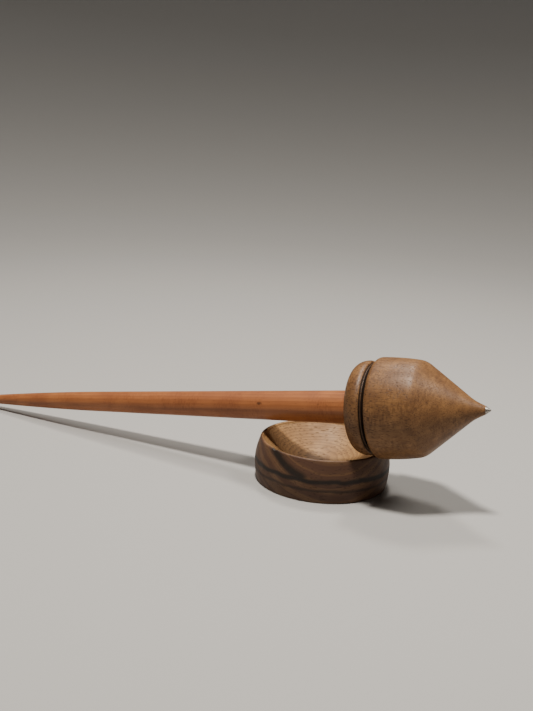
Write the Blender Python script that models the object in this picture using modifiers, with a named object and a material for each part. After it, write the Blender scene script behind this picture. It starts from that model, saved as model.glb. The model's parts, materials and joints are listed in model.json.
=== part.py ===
"""A supported hand spindle lying across its turned spinning bowl.

The bowl stands on its flat base at the origin.  The spindle rests with its whorl on the
bowl's rim and the far end of its shaft on the same surface, and it points along +X.
Everything is round and turned, so each piece is an outline swept about its own axis.
"""
import math

import bpy

MM = 0.001
FIT_GAP = 0.3 * MM          # running gap left between pieces that are glued or pressed

# Spinning bowl, measured from its base up.
BOWL_HEIGHT = 19.5 * MM
BOWL_CREST_RADIUS = 28.4 * MM
BOWL_WIDEST_RADIUS = 31.1 * MM
BOWL_WIDEST_HEIGHT = 9.4 * MM
BOWL_BASE_RADIUS = 30.2 * MM
BOWL_FOOT_ROUND = 0.6 * MM
BOWL_FOOT_SLOPE = 0.2       # radius gained for each unit of height, just above the foot
BOWL_RIM_ROUND = 0.8 * MM   # half the thickness of the rounded lip
LIP_TURN_DEG = 17           # where the lip's round runs on into the bulging side
DISH_FLOOR_HEIGHT = 5.5 * MM

# The spindle is measured along its axis from the very end of the steel point.
POINT_NOSE_RADIUS = 0.5 * MM
POINT_SHOW_LENGTH = 2.2 * MM
POINT_ROOT_RADIUS = 1.7 * MM
PIN_RADIUS = 0.8 * MM
PIN_DEPTH = 12.0 * MM       # how far the pin's shank runs into the wood

WHORL_NOSE_RADIUS = 1.75 * MM
WHORL_NOSE_SLOPE = 0.5      # radius gained for each unit of length, at the nose
CONE_STRAIGHT_START = 8.8 * MM
CONE_START_RADIUS = 5.35 * MM
CONE_END = 28.9 * MM
CONE_END_RADIUS = 21.0 * MM
CONE_EDGE_ROUND = 2.0 * MM
BARREL_WIDEST = 47.8 * MM
BARREL_RADIUS = 22.5 * MM
BARREL_END = 50.0 * MM
BARREL_SHOULDER = 2.2 * MM
NECK_RADIUS = 16.0 * MM
NECK_END = 51.3 * MM
SOCKET_DEPTH = 24.0 * MM

COLLAR_FACE = NECK_END + FIT_GAP
COLLAR_FACE_RADIUS = 20.5 * MM
COLLAR_CREST = 54.2 * MM
COLLAR_RADIUS = 21.0 * MM
COLLAR_BACK = 60.3 * MM
COLLAR_BACK_RADIUS = 16.2 * MM

SHAFT_END = 288.6 * MM
SHAFT_ROOT_RADIUS = 7.6 * MM
SHAFT_TAPER = 0.0192        # radius lost for each unit of length
SHAFT_FADE_START = 200.3 * MM
SHAFT_FADE_END = 300.3 * MM
SHAFT_FADE_POWER = 0.9
SHAFT_TIP_RADIUS = 0.85 * MM
TENON_RADIUS = 5.5 * MM

# How the spindle lies: the place of its point, and its slope down towards the shaft.
POINT_AT = (75.45 * MM, -3.2 * MM, 48.65 * MM)
SPINDLE_SLOPE = math.radians(9.54)

ROUND_STEPS = 56            # facets round the bowl, the whorl and the collar
THIN_STEPS = 28             # facets round the shaft and the point


def clear_scene():
    for item in list(bpy.data.objects):
        bpy.data.objects.remove(item, do_unlink=True)


def arc(centre, radii, start_deg, end_deg, steps):
    """Points (radius, height) on an elliptic arc, both ends included."""
    points = []
    for step in range(steps + 1):
        angle = math.radians(start_deg + (end_deg - start_deg) * step / steps)
        across = centre[0] + radii[0] * math.cos(angle)
        along = centre[1] + radii[1] * math.sin(angle)
        points.append((across, along))
    return points


def curve_through(start, start_slope, end, end_slope, steps):
    """Cubic run between two (radius, height) points; each slope is radius per height."""
    points = []
    run = end[1] - start[1]
    for step in range(1, steps):
        s = step / steps
        keep = 2 * s ** 3 - 3 * s ** 2 + 1
        rise = s ** 3 - 2 * s ** 2 + s
        take = 3 * s ** 2 - 2 * s ** 3
        fall = s ** 3 - s ** 2
        across = keep * start[0] + take * end[0]
        across += run * (rise * start_slope + fall * end_slope)
        points.append((across, start[1] + s * run))
    return points


def wood_or_metal(name, colour, roughness, metallic):
    material = bpy.data.materials.new(name)
    material.use_nodes = True
    shader = material.node_tree.nodes["Principled BSDF"]
    shader.inputs["Base Color"].default_value = (*colour, 1.0)
    shader.inputs["Roughness"].default_value = roughness
    shader.inputs["Metallic"].default_value = metallic
    return material


def turned_piece(name, outline, closed, steps, material, parent=None):
    """Sweep an outline of (radius, height) points about the piece's own Z axis."""
    mesh = bpy.data.meshes.new(name)
    edges = [(i, i + 1) for i in range(len(outline) - 1)]
    if closed:
        edges.append((len(outline) - 1, 0))
    mesh.from_pydata([(radius, 0.0, height) for radius, height in outline], edges, [])
    mesh.materials.append(material)
    piece = bpy.data.objects.new(name, mesh)
    collection.objects.link(piece)
    piece.parent = parent
    sweep = piece.modifiers.new("turn", "SCREW")
    sweep.axis = "Z"
    sweep.steps = steps
    sweep.render_steps = steps
    sweep.use_merge_vertices = True
    sweep.merge_threshold = 0.00001
    sweep.use_smooth_shade = True
    return piece


def flipped(outline):
    """The spindle is measured from its point, so outlines listed point first turn over."""
    return list(reversed(outline))


def make_bowl():
    lip_centre = (BOWL_CREST_RADIUS, BOWL_HEIGHT - BOWL_RIM_ROUND)
    dish_edge = BOWL_CREST_RADIUS - BOWL_RIM_ROUND
    dish_rise = lip_centre[1] - DISH_FLOOR_HEIGHT
    rings = 9
    outline = [(0.0, DISH_FLOOR_HEIGHT)]
    for ring in range(1, rings):
        share = ring / rings
        outline.append((share * dish_edge, DISH_FLOOR_HEIGHT + dish_rise * share ** 2))
    outline += arc(lip_centre, (BOWL_RIM_ROUND, BOWL_RIM_ROUND), 180, LIP_TURN_DEG, 5)
    lip_end = outline[-1]
    lip_slope = -math.tan(math.radians(LIP_TURN_DEG))
    widest = (BOWL_WIDEST_RADIUS, BOWL_WIDEST_HEIGHT)
    outline += curve_through(lip_end, lip_slope, widest, 0.0, 6)
    outline.append(widest)
    foot = (BOWL_BASE_RADIUS, BOWL_FOOT_ROUND)
    outline += curve_through(widest, 0.0, foot, BOWL_FOOT_SLOPE, 4)
    foot_centre = (BOWL_BASE_RADIUS - BOWL_FOOT_ROUND, BOWL_FOOT_ROUND)
    outline += arc(foot_centre, (BOWL_FOOT_ROUND, BOWL_FOOT_ROUND), 0, -90, 3)
    outline.append((0.0, 0.0))
    walnut = wood_or_metal("striped_walnut", (0.15, 0.075, 0.035), 0.45, 0.0)
    turned_piece("bowl", outline, False, ROUND_STEPS, walnut)


def make_steel_point(axis):
    shank_end = POINT_SHOW_LENGTH + PIN_DEPTH
    outline = [(0.0, 0.0)]
    outline += arc((0.0, POINT_NOSE_RADIUS), (POINT_NOSE_RADIUS,) * 2, -60, 0, 2)
    outline.append((POINT_ROOT_RADIUS, POINT_SHOW_LENGTH - FIT_GAP))
    outline.append((PIN_RADIUS, POINT_SHOW_LENGTH - FIT_GAP))
    outline.append((PIN_RADIUS, shank_end))
    outline.append((0.0, shank_end))
    steel = wood_or_metal("polished_steel", (0.62, 0.61, 0.59), 0.22, 1.0)
    turned_piece("steel_point", flipped(outline), False, THIN_STEPS, steel, axis)


def make_whorl(axis):
    nose = (WHORL_NOSE_RADIUS, POINT_SHOW_LENGTH)
    cone_start = (CONE_START_RADIUS, CONE_STRAIGHT_START)
    cone_slope = (CONE_END_RADIUS - CONE_START_RADIUS) / (CONE_END - CONE_STRAIGHT_START)
    barrel_slope = 2.0 * (BARREL_RADIUS - CONE_END_RADIUS) / (BARREL_WIDEST - CONE_END)
    edge_in = (CONE_END_RADIUS - CONE_EDGE_ROUND * cone_slope, CONE_END - CONE_EDGE_ROUND)
    edge_out = (CONE_END_RADIUS + CONE_EDGE_ROUND * barrel_slope, CONE_END + CONE_EDGE_ROUND)
    pin_bore = PIN_RADIUS + FIT_GAP
    socket = TENON_RADIUS + FIT_GAP
    socket_floor = NECK_END - SOCKET_DEPTH
    pin_bore_end = POINT_SHOW_LENGTH + PIN_DEPTH + FIT_GAP
    outline = [(0.0, pin_bore_end), (pin_bore, pin_bore_end), (pin_bore, POINT_SHOW_LENGTH)]
    outline.append(nose)
    outline += curve_through(nose, WHORL_NOSE_SLOPE, cone_start, cone_slope, 4)
    outline += [cone_start, edge_in]
    outline += curve_through(edge_in, cone_slope, edge_out, barrel_slope, 4)
    outline.append(edge_out)
    widest = (BARREL_RADIUS, BARREL_WIDEST)
    outline += curve_through(edge_out, barrel_slope, widest, 0.0, 5)
    shoulder_centre = (BARREL_RADIUS - BARREL_SHOULDER, BARREL_WIDEST)
    shoulder_size = (BARREL_SHOULDER, BARREL_END - BARREL_WIDEST)
    outline += arc(shoulder_centre, shoulder_size, 0, 90, 4)
    outline += [(NECK_RADIUS, BARREL_END), (NECK_RADIUS, NECK_END)]
    outline += [(socket, NECK_END), (socket, socket_floor), (0.0, socket_floor)]
    walnut = wood_or_metal("walnut", (0.25, 0.13, 0.065), 0.42, 0.0)
    turned_piece("whorl", flipped(outline), False, ROUND_STEPS, walnut, axis)


def make_collar(axis):
    bore = SHAFT_ROOT_RADIUS + FIT_GAP
    crest_centre = (COLLAR_BACK_RADIUS, COLLAR_CREST)
    dome = (COLLAR_RADIUS - COLLAR_BACK_RADIUS, COLLAR_BACK - COLLAR_CREST)
    outline = [(bore, COLLAR_FACE), (COLLAR_FACE_RADIUS, COLLAR_FACE)]
    outline += arc(crest_centre, dome, 0, 90, 8)
    outline.append((bore, COLLAR_BACK))
    walnut = wood_or_metal("figured_walnut", (0.22, 0.115, 0.06), 0.42, 0.0)
    turned_piece("collar_ring", flipped(outline), True, ROUND_STEPS, walnut, axis)


def shaft_radius(along):
    radius = SHAFT_ROOT_RADIUS - SHAFT_TAPER * max(along - COLLAR_BACK, 0.0)
    fade = (along - SHAFT_FADE_START) / (SHAFT_FADE_END - SHAFT_FADE_START)
    return radius * (1.0 - max(fade, 0.0) ** 2) ** SHAFT_FADE_POWER


def make_shaft(axis):
    tenon_end = NECK_END - SOCKET_DEPTH + FIT_GAP
    shoulder = NECK_END + FIT_GAP
    taper_end = SHAFT_END - SHAFT_TIP_RADIUS
    rings = 16
    crowding = 1.4          # draws the rings together towards the tip, where it curves
    outline = [(0.0, tenon_end), (TENON_RADIUS, tenon_end), (TENON_RADIUS, shoulder)]
    outline.append((SHAFT_ROOT_RADIUS, shoulder))
    for ring in range(rings + 1):
        share = 1.0 - (1.0 - ring / rings) ** crowding
        along = COLLAR_BACK + (taper_end - COLLAR_BACK) * share
        outline.append((shaft_radius(along), along))
    tip = (outline[-1][0], SHAFT_END - taper_end)
    outline += arc((0.0, taper_end), tip, 30, 90, 2)
    pear = wood_or_metal("pear_wood", (0.42, 0.17, 0.065), 0.4, 0.0)
    turned_piece("shaft", flipped(outline), False, THIN_STEPS, pear, axis)


clear_scene()
collection = bpy.data.collections.new("supported_spindle")
bpy.context.scene.collection.children.link(collection)

spindle_axis = bpy.data.objects.new("spindle_axis", None)
collection.objects.link(spindle_axis)
spindle_axis.location = POINT_AT
spindle_axis.rotation_euler = (0.0, -(math.pi / 2 + SPINDLE_SLOPE), 0.0)

make_bowl()
make_steel_point(spindle_axis)
make_whorl(spindle_axis)
make_collar(spindle_axis)
make_shaft(spindle_axis)
bpy.context.view_layer.update()
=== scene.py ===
import json
import math

import bpy
from mathutils import Matrix, Vector


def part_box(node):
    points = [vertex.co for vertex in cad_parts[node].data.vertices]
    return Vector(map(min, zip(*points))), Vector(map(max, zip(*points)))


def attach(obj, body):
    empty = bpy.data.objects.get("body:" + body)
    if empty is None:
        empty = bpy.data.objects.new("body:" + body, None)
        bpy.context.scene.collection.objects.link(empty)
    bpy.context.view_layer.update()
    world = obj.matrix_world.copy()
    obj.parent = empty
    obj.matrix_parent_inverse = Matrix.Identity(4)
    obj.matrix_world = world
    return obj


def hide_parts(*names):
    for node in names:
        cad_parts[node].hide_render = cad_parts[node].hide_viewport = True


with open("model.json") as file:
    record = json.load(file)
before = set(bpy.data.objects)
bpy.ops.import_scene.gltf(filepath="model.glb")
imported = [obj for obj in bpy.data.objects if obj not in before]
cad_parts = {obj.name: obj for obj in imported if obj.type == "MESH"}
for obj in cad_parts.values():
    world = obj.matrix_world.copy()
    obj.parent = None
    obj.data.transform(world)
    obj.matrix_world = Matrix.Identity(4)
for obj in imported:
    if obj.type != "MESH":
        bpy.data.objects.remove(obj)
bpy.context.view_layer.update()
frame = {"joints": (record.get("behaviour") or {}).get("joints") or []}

MM = 0.001
scene = bpy.context.scene


# ---------------------------------------------------------------- bowl
# One block of dark striped walnut, faceplate turned, so its growth layers lie nearly level
# and show as bands round the bulging side and as fine ovals in the dish.  A dark streak runs
# from a small flaw in the lip down into the widest band.  Sanded, oiled and waxed.

bowl_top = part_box("bowl")[1].z
lip_radius = 28.4 * MM           # circle that the lip's crest runs on
lip_round = 0.8 * MM
lip_turn = 17                    # degrees, where the lip's round runs on into the side
belly = (31.1 * MM, 9.4 * MM)
base_radius = 30.2 * MM
foot_round = 0.6 * MM
foot_slope = 0.2
dish_floor = 5.5 * MM
dish_rings = 48
flaw_turn = math.radians(-117)   # where round the lip the flaw is
flaw_reach = 1.3 * MM
flaw_depth = 0.5 * MM


def arc(centre, radii, start_deg, end_deg, steps):
    """Points (radius, height) along an elliptic arc, both ends included."""
    points = []
    for step in range(steps + 1):
        angle = math.radians(start_deg + (end_deg - start_deg) * step / steps)
        across = centre[0] + radii[0] * math.cos(angle)
        points.append((across, centre[1] + radii[1] * math.sin(angle)))
    return points


def flowing(start, start_slope, end, end_slope, steps):
    """Inner points of a smooth run between two points, with the slope held at each end."""
    points = []
    run = end[1] - start[1]
    for step in range(1, steps):
        s = step / steps
        across = (2 * s ** 3 - 3 * s ** 2 + 1) * start[0] + (3 * s ** 2 - 2 * s ** 3) * end[0]
        across += run * ((s ** 3 - 2 * s ** 2 + s) * start_slope + (s ** 3 - s ** 2) * end_slope)
        points.append((across, start[1] + s * run))
    return points


def turned(name, outline, turns, lie=Matrix(), closed=False):
    """Spin an outline of (radius, height) points round Z, as the lathe does, and lay it down.

    Each point keeps its place on the lathe, in millimetres, for the wood's figure to follow.
    """
    mesh = bpy.data.meshes.new(name)
    edges = [(i, i + 1) for i in range(len(outline) - 1)]
    if closed:
        edges.append((len(outline) - 1, 0))
    mesh.from_pydata([(radius, 0.0, height) for radius, height in outline], edges, [])
    piece = bpy.data.objects.new(name, mesh)
    scene.collection.objects.link(piece)
    lathe = piece.modifiers.new("lathe", "SCREW")
    lathe.steps = turns
    lathe.render_steps = turns
    lathe.use_merge_vertices = True
    lathe.merge_threshold = 0.000002
    lathe.use_smooth_shade = True
    with bpy.context.temp_override(object=piece, active_object=piece, selected_objects=[piece]):
        bpy.ops.object.modifier_apply(modifier=lathe.name)
    places = piece.data.attributes.new("lathe_place", "FLOAT_VECTOR", "POINT")
    for vertex, place in zip(piece.data.vertices, places.data):
        place.vector = vertex.co / MM
    piece.data.transform(lie)
    return piece


def bowl_outline():
    """The bowl's half section: a dish that rises as a parabola, the lip, the side and the foot."""
    dish_edge = lip_radius - lip_round
    lip_centre = (lip_radius, bowl_top - lip_round)
    outline = [(0.0, dish_floor)]
    for ring in range(1, dish_rings):
        share = ring / dish_rings
        outline.append((share * dish_edge, dish_floor + (lip_centre[1] - dish_floor) * share ** 2))
    outline += arc(lip_centre, (lip_round, lip_round), 180, lip_turn, 14)
    foot = (base_radius, foot_round)
    outline += flowing(outline[-1], -math.tan(math.radians(lip_turn)), belly, 0.0, 28)
    outline.append(belly)
    outline += flowing(belly, 0.0, foot, foot_slope, 20)
    outline += arc((foot[0] - foot_round, foot_round), (foot_round, foot_round), 0, -90, 8)
    outline.append((0.0, 0.0))
    return outline


bowl = turned("walnut_bowl", bowl_outline(), turns=384)
flaw_at = Vector((lip_radius * math.cos(flaw_turn), lip_radius * math.sin(flaw_turn), bowl_top))
for vertex in bowl.data.vertices:
    nearness = 1 - (vertex.co - flaw_at).length / flaw_reach
    if nearness > 0:
        vertex.co.z -= flaw_depth * nearness * (2 - nearness)


def feed(tree, socket, value):
    """Link an output to an input, or set the input's own value."""
    if isinstance(value, bpy.types.NodeSocket):
        tree.links.new(value, socket)
    else:
        socket.default_value = value


def calc(tree, operation, *values):
    """A Math node's result; each value is a number or the output that feeds it."""
    step = tree.nodes.new("ShaderNodeMath")
    step.operation = operation
    for socket, value in zip(step.inputs, values):
        feed(tree, socket, value)
    return step.outputs[0]


def between(tree, value, low, high, out_low=0.0, out_high=1.0):
    """Ease from one output to another while the value goes from low to high."""
    step = tree.nodes.new("ShaderNodeMapRange")
    step.interpolation_type = "SMOOTHSTEP"
    for name, given in (("Value", value), ("From Min", low), ("From Max", high),
                        ("To Min", out_low), ("To Max", out_high)):
        feed(tree, step.inputs[name], given)
    return step.outputs["Result"]


def stain(tree, share, under, over):
    """Lay one colour over another by a share from 0 to 1."""
    mixer = tree.nodes.new("ShaderNodeMix")
    mixer.data_type = "RGBA"
    colours = [socket for socket in mixer.inputs if socket.type == "RGBA"]
    feed(tree, mixer.inputs["Factor"], share)
    feed(tree, colours[0], under)
    feed(tree, colours[1], over)
    return [socket for socket in mixer.outputs if socket.type == "RGBA"][0]


def stretched(tree, place, across, along, shift=(0.0, 0.0, 0.0)):
    """The place measured in grain sizes, so that a pattern comes out longer along Z."""
    scaled = tree.nodes.new("ShaderNodeVectorMath")
    scaled.operation = "DIVIDE"
    sizes = tree.nodes.new("ShaderNodeCombineXYZ")
    for axis_name, value in zip("XYZ", (across, across, along)):
        feed(tree, sizes.inputs[axis_name], value)
    feed(tree, scaled.inputs[0], place)
    feed(tree, scaled.inputs[1], sizes.outputs[0])
    moved = tree.nodes.new("ShaderNodeVectorMath")
    moved.operation = "ADD"
    feed(tree, moved.inputs[0], scaled.outputs[0])
    moved.inputs[1].default_value = shift
    return moved.outputs[0]


def clouds(tree, place, detail=2.0, rough=0.5, dimensions="3D"):
    """Smooth noise from 0 to 1 at the place given, about one blotch to the unit."""
    noise = tree.nodes.new("ShaderNodeTexNoise")
    noise.noise_dimensions = dimensions
    feed(tree, noise.inputs["W" if dimensions == "1D" else "Vector"], place)
    noise.inputs["Scale"].default_value = 1.0
    noise.inputs["Detail"].default_value = detail
    noise.inputs["Roughness"].default_value = rough
    return noise.outputs["Fac"]


def new_group(name, takes, gives):
    """An empty shader node group; takes and gives are rows of socket name, kind and value."""
    group = bpy.data.node_groups.new(name, "ShaderNodeTree")
    for socket_name, kind, value in takes:
        socket = group.interface.new_socket(socket_name, in_out="INPUT", socket_type=kind)
        if value is not None:
            socket.default_value = value
    for socket_name, kind in gives:
        group.interface.new_socket(socket_name, in_out="OUTPUT", socket_type=kind)
    return group, group.nodes.new("NodeGroupInput").outputs, group.nodes.new("NodeGroupOutput").inputs


def place_group(tree, group, **values):
    """Put a node group in a material, with its inputs set by name; returns its outputs."""
    holder = tree.nodes.new("ShaderNodeGroup")
    holder.node_tree = group
    for name, value in values.items():
        feed(tree, holder.inputs[name.capitalize()], value)
    return holder.outputs


# Growth layers: rings round the tree's pith, pale early wood easing into a dark late edge.
growth_layers, taken, given = new_group(
    "growth layers",
    (("Place", "NodeSocketVector", None), ("Pith", "NodeSocketVector", (40.0, 0.0, 0.0)),
     ("Spacing", "NodeSocketFloat", 2.5), ("Wander", "NodeSocketFloat", 1.0)),
    (("Late", "NodeSocketFloat"), ("Tone", "NodeSocketFloat")))
tree = growth_layers
from_pith = tree.nodes.new("ShaderNodeVectorMath")
from_pith.operation = "SUBTRACT"
feed(tree, from_pith.inputs[0], taken["Place"])
feed(tree, from_pith.inputs[1], taken["Pith"])
flat = tree.nodes.new("ShaderNodeVectorMath")
flat.operation = "MULTIPLY"
feed(tree, flat.inputs[0], from_pith.outputs[0])
flat.inputs[1].default_value = (1.0, 1.0, 0.0)
reach = tree.nodes.new("ShaderNodeVectorMath")
reach.operation = "LENGTH"
feed(tree, reach.inputs[0], flat.outputs[0])
waver = calc(tree, "SUBTRACT", clouds(tree, stretched(tree, taken["Place"], 9.0, 30.0), 3.0), 0.5)
wander = calc(tree, "MULTIPLY", taken["Wander"], 4.0)
wandering = calc(tree, "MULTIPLY_ADD", waver, wander, reach.outputs["Value"])
ring = calc(tree, "DIVIDE", wandering, taken["Spacing"])
season = calc(tree, "FRACT", ring)
darkening = between(tree, season, 0.25, 0.86)
winter_edge = between(tree, season, 0.9, 1.0, 1.0, 0.0)
feed(tree, given["Late"], calc(tree, "MULTIPLY", darkening, winter_edge))
feed(tree, given["Tone"], clouds(tree, calc(tree, "MULTIPLY", ring, 0.37), 1.0, 0.5, "1D"))

# Fibre: the fine streaks of the wood's cells, long along the grain and a hair wide.
wood_fibre, taken, given = new_group(
    "wood fibre",
    (("Place", "NodeSocketVector", None), ("Length", "NodeSocketFloat", 8.0),
     ("Width", "NodeSocketFloat", 0.4)),
    (("Fibre", "NodeSocketFloat"),))
cells = stretched(wood_fibre, taken["Place"], taken["Width"], taken["Length"])
feed(wood_fibre, given["Fibre"], clouds(wood_fibre, cells, 4.0, 0.6))

# Open pores: short dark dashes along the grain, thick in some places and thin in others.
open_pores, taken, given = new_group(
    "open pores",
    (("Place", "NodeSocketVector", None), ("Length", "NodeSocketFloat", 3.0),
     ("Width", "NodeSocketFloat", 0.6), ("Share", "NodeSocketFloat", 0.5)),
    (("Pore", "NodeSocketFloat"),))
tree = open_pores
cells = tree.nodes.new("ShaderNodeTexVoronoi")
feed(tree, cells.inputs["Vector"], stretched(tree, taken["Place"], taken["Width"], taken["Length"]))
cells.inputs["Scale"].default_value = 1.0
lot = tree.nodes.new("ShaderNodeSeparateColor")
feed(tree, lot.inputs[0], cells.outputs["Color"])
crowding = clouds(tree, stretched(tree, taken["Place"], 5.0, 12.0), 2.0)
chance = calc(tree, "MULTIPLY", taken["Share"], between(tree, crowding, 0.3, 0.7, 0.5, 1.5))
kept = calc(tree, "LESS_THAN", lot.outputs[0], chance)
dash = between(tree, cells.outputs["Distance"], 0.2, 0.42, 1.0, 0.0)
feed(tree, given["Pore"], calc(tree, "MULTIPLY", kept, dash))

# Cross figure: ripples and ray flecks that lie across the grain, in patches.
cross_figure, taken, given = new_group(
    "cross figure",
    (("Place", "NodeSocketVector", None), ("Length", "NodeSocketFloat", 0.7),
     ("Width", "NodeSocketFloat", 3.0), ("Patch", "NodeSocketFloat", 9.0)),
    (("Figure", "NodeSocketFloat"),))
tree = cross_figure
ripple = clouds(tree, stretched(tree, taken["Place"], taken["Width"], taken["Length"]), 2.0)
patch = clouds(tree, stretched(tree, taken["Place"], taken["Patch"], taken["Patch"], (5.0, 3.0, 1.0)), 2.0)
feed(tree, given["Figure"],
     calc(tree, "MULTIPLY", between(tree, ripple, 0.42, 0.66), between(tree, patch, 0.38, 0.6)))

# Mottle: the slow drift of colour and polish that handling and wax leave.
mottle, taken, given = new_group(
    "mottle",
    (("Place", "NodeSocketVector", None), ("Size", "NodeSocketFloat", 8.0)),
    (("Drift", "NodeSocketFloat"),))
blotch = stretched(mottle, taken["Place"], taken["Size"], taken["Size"])
feed(mottle, given["Drift"], clouds(mottle, blotch, 3.0))

# Turning lines: the faint rings that the gouge and the abrasive leave, all round the piece.
turning_lines, taken, given = new_group(
    "turning lines",
    (("Along", "NodeSocketFloat", 0.0), ("Pitch", "NodeSocketFloat", 0.3)),
    (("Line", "NodeSocketFloat"),))
tool_pass = calc(turning_lines, "DIVIDE", taken["Along"], taken["Pitch"])
feed(turning_lines, given["Line"], clouds(turning_lines, tool_pass, 3.0, 0.6, "1D"))


def start_finish(name):
    """A new material's node tree, its shader, and the output that gives the place on the lathe."""
    material = bpy.data.materials.new(name)
    material.use_nodes = True
    place = material.node_tree.nodes.new("ShaderNodeAttribute")
    place.attribute_name = "lathe_place"
    shader = material.node_tree.nodes["Principled BSDF"]
    return material, material.node_tree, shader, place.outputs["Vector"]


def roughen(tree, shader, height, depth):
    """Feed a height to the shader's normal as a bump, with its depth in metres."""
    bump = tree.nodes.new("ShaderNodeBump")
    bump.inputs["Distance"].default_value = depth
    feed(tree, bump.inputs["Height"], height)
    tree.links.new(bump.outputs["Normal"], shader.inputs["Normal"])


def xyz(tree, vector):
    """A vector's three parts."""
    parts = tree.nodes.new("ShaderNodeSeparateXYZ")
    feed(tree, parts.inputs[0], vector)
    return parts.outputs["X"], parts.outputs["Y"], parts.outputs["Z"]


def window(tree, value, centre, half, soft):
    """1 within half a width of the centre, easing to 0 over the soft edge."""
    off = calc(tree, "ABSOLUTE", calc(tree, "SUBTRACT", value, centre))
    return between(tree, off, half, half + soft, 1.0, 0.0)


def from_axis(tree, x, y):
    """How far a place on the lathe is from the axis that the piece turns on."""
    squares = calc(tree, "ADD", calc(tree, "POWER", x, 2.0), calc(tree, "POWER", y, 2.0))
    return calc(tree, "SQRT", squares)


def drifting(tree, drift, low=0.0, high=1.0):
    """Ease from one value to another with the slow drift of a mottle."""
    return between(tree, drift, 0.3, 0.7, low, high)


def mark(tree, mask, strength, colour, over):
    """Lay a colour over the wood's where a mask is 1, at a strength from 0 to 1."""
    return stain(tree, calc(tree, "MULTIPLY", mask, strength), colour, over)


def grown_wood(tree, drift, fibre, late, colours, fibre_strength, late_strength):
    """The wood before its marks: pale drifting to brown, dark fibres, then dark late wood."""
    pale, brown, fibre_brown, late_brown = colours
    colour = stain(tree, drifting(tree, drift), pale, brown)
    colour = mark(tree, between(tree, fibre, 0.35, 0.75), fibre_strength, colour, fibre_brown)
    return mark(tree, late, late_strength, colour, late_brown)


# The outer wall is heartwood, darkened further by painted shade, with two black bands.  Heights here are
# in millimetres.
grain_turn = math.radians(30)    # the bowl's grain runs this far round from the spindle
wide_band_height = 10.2
thin_band_height = 6.0
streak_reach = math.radians(36)  # how far round from the flaw the streak runs
streak_fall = 9.3
bowl_wood, tree, shader, place = start_finish("striped walnut")
turn = tree.nodes.new("ShaderNodeVectorRotate")
turn.rotation_type = "Z_AXIS"
feed(tree, turn.inputs["Vector"], place)
turn.inputs["Angle"].default_value = -grain_turn
along, sideways, level = xyz(tree, turn.outputs[0])
tipped = tree.nodes.new("ShaderNodeCombineXYZ")
for axis_name, value in zip("XYZ", (level, sideways, along)):
    feed(tree, tipped.inputs[axis_name], value)
grain_place = tipped.outputs[0]

layers = place_group(tree, growth_layers, place=grain_place, pith=(-60.0, 25.0, 0.0),
                     spacing=0.9, wander=0.7)
fibre = place_group(tree, wood_fibre, place=grain_place, length=7.0, width=0.35)["Fibre"]
pore = place_group(tree, open_pores, place=grain_place, length=3.0, width=0.55, share=0.4)["Pore"]
drift = place_group(tree, mottle, place=grain_place, size=9.0)["Drift"]
across_x, across_y, height = xyz(tree, place)
radius = from_axis(tree, across_x, across_y)
line = place_group(tree, turning_lines, along=calc(tree, "ADD", radius, height), pitch=0.35)["Line"]

around = calc(tree, "ARCTAN2", across_y, across_x)
outer_wall = between(tree, radius, 27.8, 28.8)
waver = calc(tree, "MULTIPLY", calc(tree, "SUBTRACT", drift, 0.5), 2.4)
wavering = calc(tree, "ADD", height, waver)
wide_band = window(tree, wavering, wide_band_height, 0.4, 1.3)
thin_band = calc(tree, "MULTIPLY", window(tree, wavering, thin_band_height, 0.1, 1.0), 0.7)
past_flaw = calc(tree, "DIVIDE", calc(tree, "SUBTRACT", around, flaw_turn), streak_reach)
streak_curve = calc(tree, "SINE", calc(tree, "MULTIPLY", past_flaw, 1.2))
streak_drop = calc(tree, "MULTIPLY", streak_curve, streak_fall)
streak_height = calc(tree, "SUBTRACT", bowl_top / MM, streak_drop)
streak = calc(tree, "MULTIPLY", window(tree, wavering, streak_height, 0.6, 2.6),
              window(tree, past_flaw, 0.45, 0.45, 0.2))
dark = calc(tree, "MAXIMUM", calc(tree, "MAXIMUM", wide_band, thin_band), streak)
dark = calc(tree, "MULTIPLY", dark, outer_wall)
from_flaw = tree.nodes.new("ShaderNodeVectorMath")
from_flaw.operation = "DISTANCE"
feed(tree, from_flaw.inputs[0], place)
from_flaw.inputs[1].default_value = flaw_at / MM
dark = calc(tree, "MAXIMUM", dark, between(tree, from_flaw.outputs["Value"], 1.1, 2.6, 1.0, 0.0))

dish_browns = ((0.35, 0.195, 0.075, 1), (0.25, 0.13, 0.047, 1),
               (0.19, 0.1, 0.05, 1), (0.11, 0.05, 0.022, 1))
# painted shade: this dark brown is the outer wall's heartwood tone deepened as shade where the overhead
# light misses the side
heart_and_shade_brown = (0.062, 0.028, 0.018, 1)
band_black = (0.012, 0.008, 0.006, 1)
pore_brown = (0.03, 0.014, 0.008, 1)
colour = grown_wood(tree, drift, fibre, layers["Late"], dish_browns, 0.4, 0.4)
# painted shade: the outer wall is coloured darker than the dish, partly heartwood tone and partly shade
# painted on the side away from the light
heart_and_shade = between(tree, layers["Tone"], 0.35, 0.65, 0.72, 0.93)
colour = mark(tree, outer_wall, heart_and_shade, colour, heart_and_shade_brown)
colour = mark(tree, dark, 0.95, colour, band_black)
colour = mark(tree, pore, 0.7, colour, pore_brown)
feed(tree, shader.inputs["Base Color"], colour)
feed(tree, shader.inputs["Roughness"],
     calc(tree, "MULTIPLY_ADD", pore, 0.2, drifting(tree, drift, 0.5, 0.62)))
shader.inputs["Specular IOR Level"].default_value = 0.3
relief = calc(tree, "MULTIPLY_ADD", pore, -0.6, calc(tree, "MULTIPLY", fibre, 0.25))
roughen(tree, shader, calc(tree, "MULTIPLY_ADD", line, 0.25, relief), 0.05 * MM)
bowl.data.materials.append(bowl_wood)
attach(bowl, "bowl")
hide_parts("bowl")


# ---------------------------------------------------------------- steel point
# A small steel pin, turned to a blunt point and polished.  Its shank is pressed into the
# nose of the whorl, and only the last two millimetres show.

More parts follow.
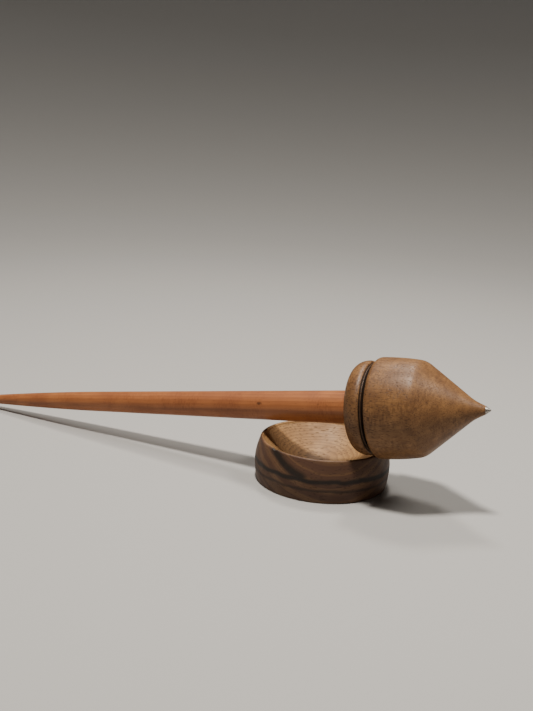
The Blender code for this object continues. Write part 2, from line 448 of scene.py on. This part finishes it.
spin = [joint for joint in frame["joints"] if joint["name"] == "spindle_spin"][0]
point_at = Vector(spin["pos_m"])
axis = Vector(spin["axis"]).normalized()
along_spindle = Matrix.Translation(point_at) @ (-axis).to_track_quat("Z", "Y").to_matrix().to_4x4()

point_nose = 0.5 * MM
point_length = 2.2 * MM
point_root = 1.7 * MM
root_edge = 0.1 * MM             # laps this far into the whorl's nose, so that no gap shows
pin_radius = 0.8 * MM
pin_end = 14.2 * MM

outline = [(0.0, 0.0)] + arc((0.0, point_nose), (point_nose, point_nose), -80, -8, 8)
outline += [(point_root, point_length - root_edge), (point_root, point_length + root_edge)]
outline += [(pin_radius, point_length + root_edge), (pin_radius, pin_end), (0.0, pin_end)]
point = turned("steel_point_pin", outline[::-1], turns=96, lie=along_spindle)
steel, tree, shader, place = start_finish("polished steel")
polish = place_group(tree, turning_lines, along=xyz(tree, place)[2], pitch=0.09)["Line"]
scuff = place_group(tree, mottle, place=place, size=0.7)["Drift"]
clean_steel = (0.36, 0.34, 0.31, 1)
dull_steel = (0.24, 0.22, 0.2, 1)
feed(tree, shader.inputs["Base Color"],
     stain(tree, between(tree, scuff, 0.35, 0.7), clean_steel, dull_steel))
shader.inputs["Metallic"].default_value = 1.0
feed(tree, shader.inputs["Roughness"], drifting(tree, scuff, 0.34, 0.46))
roughen(tree, shader, polish, 0.006 * MM)
point.data.materials.append(steel)
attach(point, "point")
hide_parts("steel_point")


# ---------------------------------------------------------------- whorl
# Walnut, spindle turned with its grain along the axis: a long cone for the nose, a soft
# edge, and a slightly swelling barrel.  It is bored for the shaft and glued to it.

whorl_nose = (1.75 * MM, point_length)
nose_slope = 0.5
cone_start = (5.35 * MM, 8.8 * MM)
cone_end = (21.0 * MM, 28.9 * MM)
cone_edge_round = 2.0 * MM
barrel_widest = (22.5 * MM, 47.8 * MM)
barrel_end = 50.0 * MM
shoulder_round = 2.2 * MM
neck_radius = 16.0 * MM
neck_end = 51.3 * MM
socket_radius = 5.6 * MM
socket_floor = 27.3 * MM
pin_clearance = 0.05 * MM
groove_from = 49.6 * MM          # painted shade darkens the groove between these two heights
groove_to = 52.5 * MM
groove_floor = 19.5 * MM         # painted shade is darkest from here in, and there is none from the groove's top out
groove_top = 20.6 * MM
torn_from = 43.0                 # in millimetres: pores stand open from here to the barrel's end
torn_to = 49.0


def whorl_outline():
    """The whorl's half section, from its pin bore over cone, barrel and neck to its socket."""
    cone_slope = (cone_end[0] - cone_start[0]) / (cone_end[1] - cone_start[1])
    barrel_slope = 2 * (barrel_widest[0] - cone_end[0]) / (barrel_widest[1] - cone_end[1])
    edge_in = (cone_end[0] - cone_edge_round * cone_slope, cone_end[1] - cone_edge_round)
    edge_out = (cone_end[0] + cone_edge_round * barrel_slope, cone_end[1] + cone_edge_round)
    pin_bore = pin_radius + pin_clearance
    bore_end = pin_end + 2 * pin_clearance
    outline = [(0.0, bore_end), (pin_bore, bore_end), (pin_bore, whorl_nose[1]), whorl_nose]
    outline += flowing(whorl_nose, nose_slope, cone_start, cone_slope, 20)
    outline.append(cone_start)
    outline += flowing(cone_start, cone_slope, edge_in, cone_slope, 40)
    outline.append(edge_in)
    outline += flowing(edge_in, cone_slope, edge_out, barrel_slope, 16)
    outline.append(edge_out)
    outline += flowing(edge_out, barrel_slope, barrel_widest, 0.0, 40)
    shoulder = (barrel_widest[0] - shoulder_round, barrel_widest[1])
    outline += arc(shoulder, (shoulder_round, barrel_end - barrel_widest[1]), 0, 90, 20)
    outline += [(neck_radius, barrel_end), (neck_radius, neck_end)]
    outline += [(socket_radius, neck_end), (socket_radius, socket_floor), (0.0, socket_floor)]
    return outline


def walnut(name, pale, brown, shift, ripple_width, ripple_share):
    """Fine walnut with its grain along the lathe, rippled, and with painted shade in the groove."""
    material, tree, shader, place = start_finish(name)
    moved = tree.nodes.new("ShaderNodeVectorMath")
    moved.operation = "ADD"
    feed(tree, moved.inputs[0], place)
    moved.inputs[1].default_value = shift
    wood = moved.outputs[0]
    layers = place_group(tree, growth_layers, place=wood, pith=(30.0, 22.0, 0.0), spacing=3.1, wander=1.4)
    fibre = place_group(tree, wood_fibre, place=wood, length=6.0, width=0.45)["Fibre"]
    pore = place_group(tree, open_pores, place=wood, length=2.2, width=0.45, share=0.9)["Pore"]
    ripple = place_group(tree, cross_figure, place=wood, length=1.0, width=ripple_width,
                         patch=10.0)["Figure"]
    drift = place_group(tree, mottle, place=wood, size=8.0)["Drift"]
    across_x, across_y, height = xyz(tree, place)
    line = place_group(tree, turning_lines, along=height, pitch=0.3)["Line"]
    groove_middle = (groove_from + groove_to) / 2 / MM
    groove_half = (groove_to - groove_from) / 2 / MM
    in_groove = window(tree, height, groove_middle, groove_half, 0.2)
    deep = between(tree, from_axis(tree, across_x, across_y), groove_floor / MM, groove_top / MM,
                   1.0, 0.0)
    # painted shade: the groove's recess, inward of the groove's top, is coloured near black where shade
    # falls
    groove_shade = calc(tree, "MULTIPLY", in_groove, deep)

    browns = (pale, brown, (0.095, 0.042, 0.018, 1), (0.1, 0.046, 0.02, 1))
    ripple_brown = (0.07, 0.03, 0.013, 1)
    pore_brown = (0.045, 0.019, 0.009, 1)
    shade_black = (0.008, 0.005, 0.004, 1)
    colour = grown_wood(tree, drift, fibre, layers["Late"], browns, 0.55, 0.22)
    colour = mark(tree, ripple, ripple_share, colour, ripple_brown)
    torn = between(tree, height, torn_from, torn_to, 0.62, 0.95)
    colour = mark(tree, pore, torn, colour, pore_brown)
    # lay the painted shade into the groove
    colour = mark(tree, groove_shade, 0.97, colour, shade_black)
    feed(tree, shader.inputs["Base Color"], colour)
    feed(tree, shader.inputs["Roughness"],
         calc(tree, "MULTIPLY_ADD", pore, 0.18, drifting(tree, drift, 0.4, 0.5)))
    shader.inputs["Specular IOR Level"].default_value = 0.27
    relief = calc(tree, "MULTIPLY_ADD", pore, -0.5, calc(tree, "MULTIPLY", fibre, 0.3))
    roughen(tree, shader, calc(tree, "MULTIPLY_ADD", line, 0.3, relief), 0.045 * MM)
    return material


whorl = turned("walnut_whorl", whorl_outline()[::-1], turns=320, lie=along_spindle)
whorl.data.materials.append(walnut("walnut", pale=(0.25, 0.125, 0.048, 1),
                                   brown=(0.145, 0.068, 0.026, 1), shift=(0.0, 0.0, 0.0),
                                   ripple_width=2.6, ripple_share=0.5))
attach(whorl, "spindle")
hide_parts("whorl")


# ---------------------------------------------------------------- collar ring
# A domed ring of wavier walnut, slid down the shaft and glued against the whorl's neck.
# A fine fillet and quirk are cut at its edge, and the groove is painted dark as shade.

collar_face = 51.4 * MM
fillet_radius = 19.9 * MM
fillet_end = 52.05 * MM
quirk_radius = 19.3 * MM
quirk_end = 52.45 * MM
collar_corner = 20.45 * MM
corner_slope = 0.55
collar_crest = (21.0 * MM, 54.2 * MM)
collar_back = 60.3 * MM
collar_back_radius = 16.2 * MM
collar_bore = 7.65 * MM


def collar_outline():
    """The collar's half section: bore, flat face, fillet, quirk, crest and domed back."""
    dome = (collar_crest[0] - collar_back_radius, collar_back - collar_crest[1])
    outline = [(collar_bore, collar_face), (fillet_radius, collar_face), (fillet_radius, fillet_end)]
    outline += [(quirk_radius, fillet_end), (quirk_radius, quirk_end), (collar_corner, quirk_end)]
    outline += flowing((collar_corner, quirk_end), corner_slope, collar_crest, 0.0, 10)
    outline += arc((collar_back_radius, collar_crest[1]), dome, 0, 90, 40)
    outline.append((collar_bore, collar_back))
    return outline


collar = turned("collar", collar_outline()[::-1], turns=320, lie=along_spindle, closed=True)
collar.data.materials.append(walnut("wavy walnut", pale=(0.24, 0.12, 0.047, 1),
                                    brown=(0.132, 0.062, 0.024, 1), shift=(17.0, -9.0, 40.0),
                                    ripple_width=1.8, ripple_share=0.85))
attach(collar, "spindle")
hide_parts("collar_ring")


# ---------------------------------------------------------------- shaft
# Pear wood, spindle turned with its grain along the axis, tapering to a fine round tip that
# the yarn slips off.  Sanded and oiled, with ray flecks and two small dark knots.

shaft_root = 7.6 * MM
shaft_taper = 0.0192
fade_start = 200.3 * MM
fade_end = 300.3 * MM
shaft_end = 288.6 * MM
tip_length = 0.85 * MM           # the rounded end of the tip
tenon_radius = 5.5 * MM
tenon_gap = 0.3 * MM             # left for glue under the tenon
shoulder_gap = 0.1 * MM
shaft_rings = 140
ring_crowding = 1.4              # rings stand closer together towards the fine end
tip_fullness = 0.9


def shaft_outline():
    """The shaft's half section: tenon, shoulder, a straight taper that fades, and a round tip."""
    tenon_end = socket_floor + tenon_gap
    shoulder = neck_end + shoulder_gap
    outline = [(0.0, tenon_end), (tenon_radius, tenon_end)]
    outline += [(tenon_radius, shoulder), (shaft_root, shoulder)]
    last = shaft_end - tip_length
    for ring in range(shaft_rings + 1):
        share = 1 - (1 - ring / shaft_rings) ** ring_crowding
        along = collar_back + (last - collar_back) * share
        fade = max((along - fade_start) / (fade_end - fade_start), 0.0)
        radius = shaft_root - shaft_taper * (along - collar_back)
        outline.append((radius * (1 - fade ** 2) ** tip_fullness, along))
    outline += arc((0.0, last), (outline[-1][0], tip_length), 10, 90, 8)
    return outline


# Knot: a small dark ragged eye, drawn out a little along the grain.
knot, taken, given = new_group(
    "knot",
    (("Place", "NodeSocketVector", None), ("Centre", "NodeSocketVector", (0.0, 0.0, 0.0)),
     ("Size", "NodeSocketFloat", 1.0)),
    (("Eye", "NodeSocketFloat"),))
offset = knot.nodes.new("ShaderNodeVectorMath")
offset.operation = "SUBTRACT"
feed(knot, offset.inputs[0], taken["Place"])
feed(knot, offset.inputs[1], taken["Centre"])
reach = knot.nodes.new("ShaderNodeVectorMath")
reach.operation = "LENGTH"
eye_length = calc(knot, "MULTIPLY", taken["Size"], 1.6)
feed(knot, reach.inputs[0], stretched(knot, offset.outputs[0], taken["Size"], eye_length))
rough_edge = clouds(knot, stretched(knot, taken["Place"], 0.5, 0.5), 2.0)
ragged = calc(knot, "MULTIPLY_ADD", rough_edge, 0.9, reach.outputs["Value"])
feed(knot, given["Eye"], between(knot, ragged, 0.7, 1.5, 1.0, 0.0))

shaft = turned("pear_shaft", shaft_outline()[::-1], turns=160, lie=along_spindle)
to_lathe = along_spindle.inverted()


def on_shaft(along, toward):
    """The lathe place, in millimetres, of a point on the shaft's skin that faces a direction."""
    facing = (to_lathe.to_3x3() @ Vector(toward)).to_2d().normalized()
    skin = (shaft_root - shaft_taper * (along - collar_back)) / MM
    return (facing.x * skin, facing.y * skin, along / MM)


shaft_wood, tree, shader, place = start_finish("pear wood")
layers = place_group(tree, growth_layers, place=place, pith=(14.0, -9.0, 0.0), spacing=1.9, wander=0.5)
fibre = place_group(tree, wood_fibre, place=place, length=26.0, width=0.4)["Fibre"]
pore = place_group(tree, open_pores, place=place, length=1.6, width=0.5, share=0.12)["Pore"]
flecks = place_group(tree, cross_figure, place=place, length=0.45, width=2.2, patch=11.0)["Figure"]
drift = place_group(tree, mottle, place=place, size=14.0)["Drift"]
line = place_group(tree, turning_lines, along=xyz(tree, place)[2], pitch=0.4)["Line"]
front = (0.35, -0.85, 0.4)
big_knot_at = on_shaft(106.1 * MM, front)
small_knot_at = on_shaft(76.4 * MM, front)
big_knot = place_group(tree, knot, place=place, centre=big_knot_at, size=1.0)["Eye"]
small_knot = place_group(tree, knot, place=place, centre=small_knot_at, size=0.6)["Eye"]

pear_browns = ((0.36, 0.132, 0.045, 1), (0.275, 0.094, 0.033, 1),
               (0.19, 0.06, 0.022, 1), (0.155, 0.047, 0.018, 1))
colour = grown_wood(tree, drift, fibre, layers["Late"], pear_browns, 0.4, 0.3)
colour = mark(tree, flecks, 0.5, colour, (0.17, 0.05, 0.018, 1))
colour = mark(tree, pore, 0.5, colour, (0.12, 0.04, 0.016, 1))
colour = mark(tree, big_knot, 0.85, colour, (0.06, 0.02, 0.01, 1))
colour = mark(tree, small_knot, 0.5, colour, (0.12, 0.04, 0.018, 1))
feed(tree, shader.inputs["Base Color"], colour)
feed(tree, shader.inputs["Roughness"], drifting(tree, drift, 0.4, 0.5))
shader.inputs["Specular IOR Level"].default_value = 0.32
relief = calc(tree, "MULTIPLY_ADD", pore, -0.5, calc(tree, "MULTIPLY", fibre, 0.3))
roughen(tree, shader, calc(tree, "MULTIPLY_ADD", line, 0.2, relief), 0.04 * MM)
shaft.data.materials.append(shaft_wood)
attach(shaft, "spindle")
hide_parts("shaft")


# ---------------------------------------------------------------- floor, light and camera
# A seamless pale paper sweep that rises all round, and three soft round lamps: a key almost
# overhead, a weaker one behind and another to the side, with a little light from the room.

sweep_flat = 0.6
sweep_bend = 1.6
sweep_top = 2.6
sweep_outline = [(sweep_flat + sweep_bend, sweep_top)]
sweep_outline += arc((sweep_flat, sweep_bend), (sweep_bend, sweep_bend), 0, -90, 24)
sweep_outline.append((0.0, 0.0))
sweep = turned("studio_floor", sweep_outline[::-1], turns=96)
paper = bpy.data.materials.new("pale studio paper")
paper.use_nodes = True
shader = paper.node_tree.nodes["Principled BSDF"]
shader.inputs["Base Color"].default_value = (0.37, 0.36, 0.345, 1)
shader.inputs["Roughness"].default_value = 0.85
sweep.data.materials.append(paper)

world = bpy.data.worlds.new("studio")
scene.world = world
world.use_nodes = True
room = world.node_tree.nodes["Background"]
room.inputs["Color"].default_value = (0.6, 0.6, 0.62, 1)
room.inputs["Strength"].default_value = 0.1

lamp_distance = 0.9


def soft_lamp(name, toward, size, watts):
    """A round soft lamp that shines on the bowl from a direction."""
    light = bpy.data.lights.new(name, "AREA")
    light.shape = "DISK"
    light.size = size
    light.energy = watts
    light.color = (1.0, 0.95, 0.88)
    lamp = bpy.data.objects.new(name, light)
    scene.collection.objects.link(lamp)
    lamp.location = Vector(toward).normalized() * lamp_distance
    lamp.rotation_euler = Vector(toward).to_track_quat("Z", "Y").to_euler()


soft_lamp("overhead_key", toward=(-0.03, -0.17, 0.98), size=0.12, watts=12)
soft_lamp("back_lamp", toward=(-0.173, 0.429, 0.886), size=0.16, watts=4)
soft_lamp("side_lamp", toward=(0.55, 0.12, 0.83), size=0.25, watts=3)

camera_at = Vector((0.1659, -0.4356, 0.1788))
camera_azimuth = math.radians(24.39)
camera_pitch = math.radians(14.63)
camera_roll = math.radians(3.685)
lens = bpy.data.cameras.new("camera")
lens.lens = 54.0
lens.sensor_width = 36.0
camera = bpy.data.objects.new("camera", lens)
scene.collection.objects.link(camera)
camera.matrix_world = (Matrix.Translation(camera_at) @ Matrix.Rotation(camera_azimuth, 4, "Z")
                       @ Matrix.Rotation(math.pi / 2 - camera_pitch, 4, "X")
                       @ Matrix.Rotation(camera_roll, 4, "Z"))
scene.camera = camera
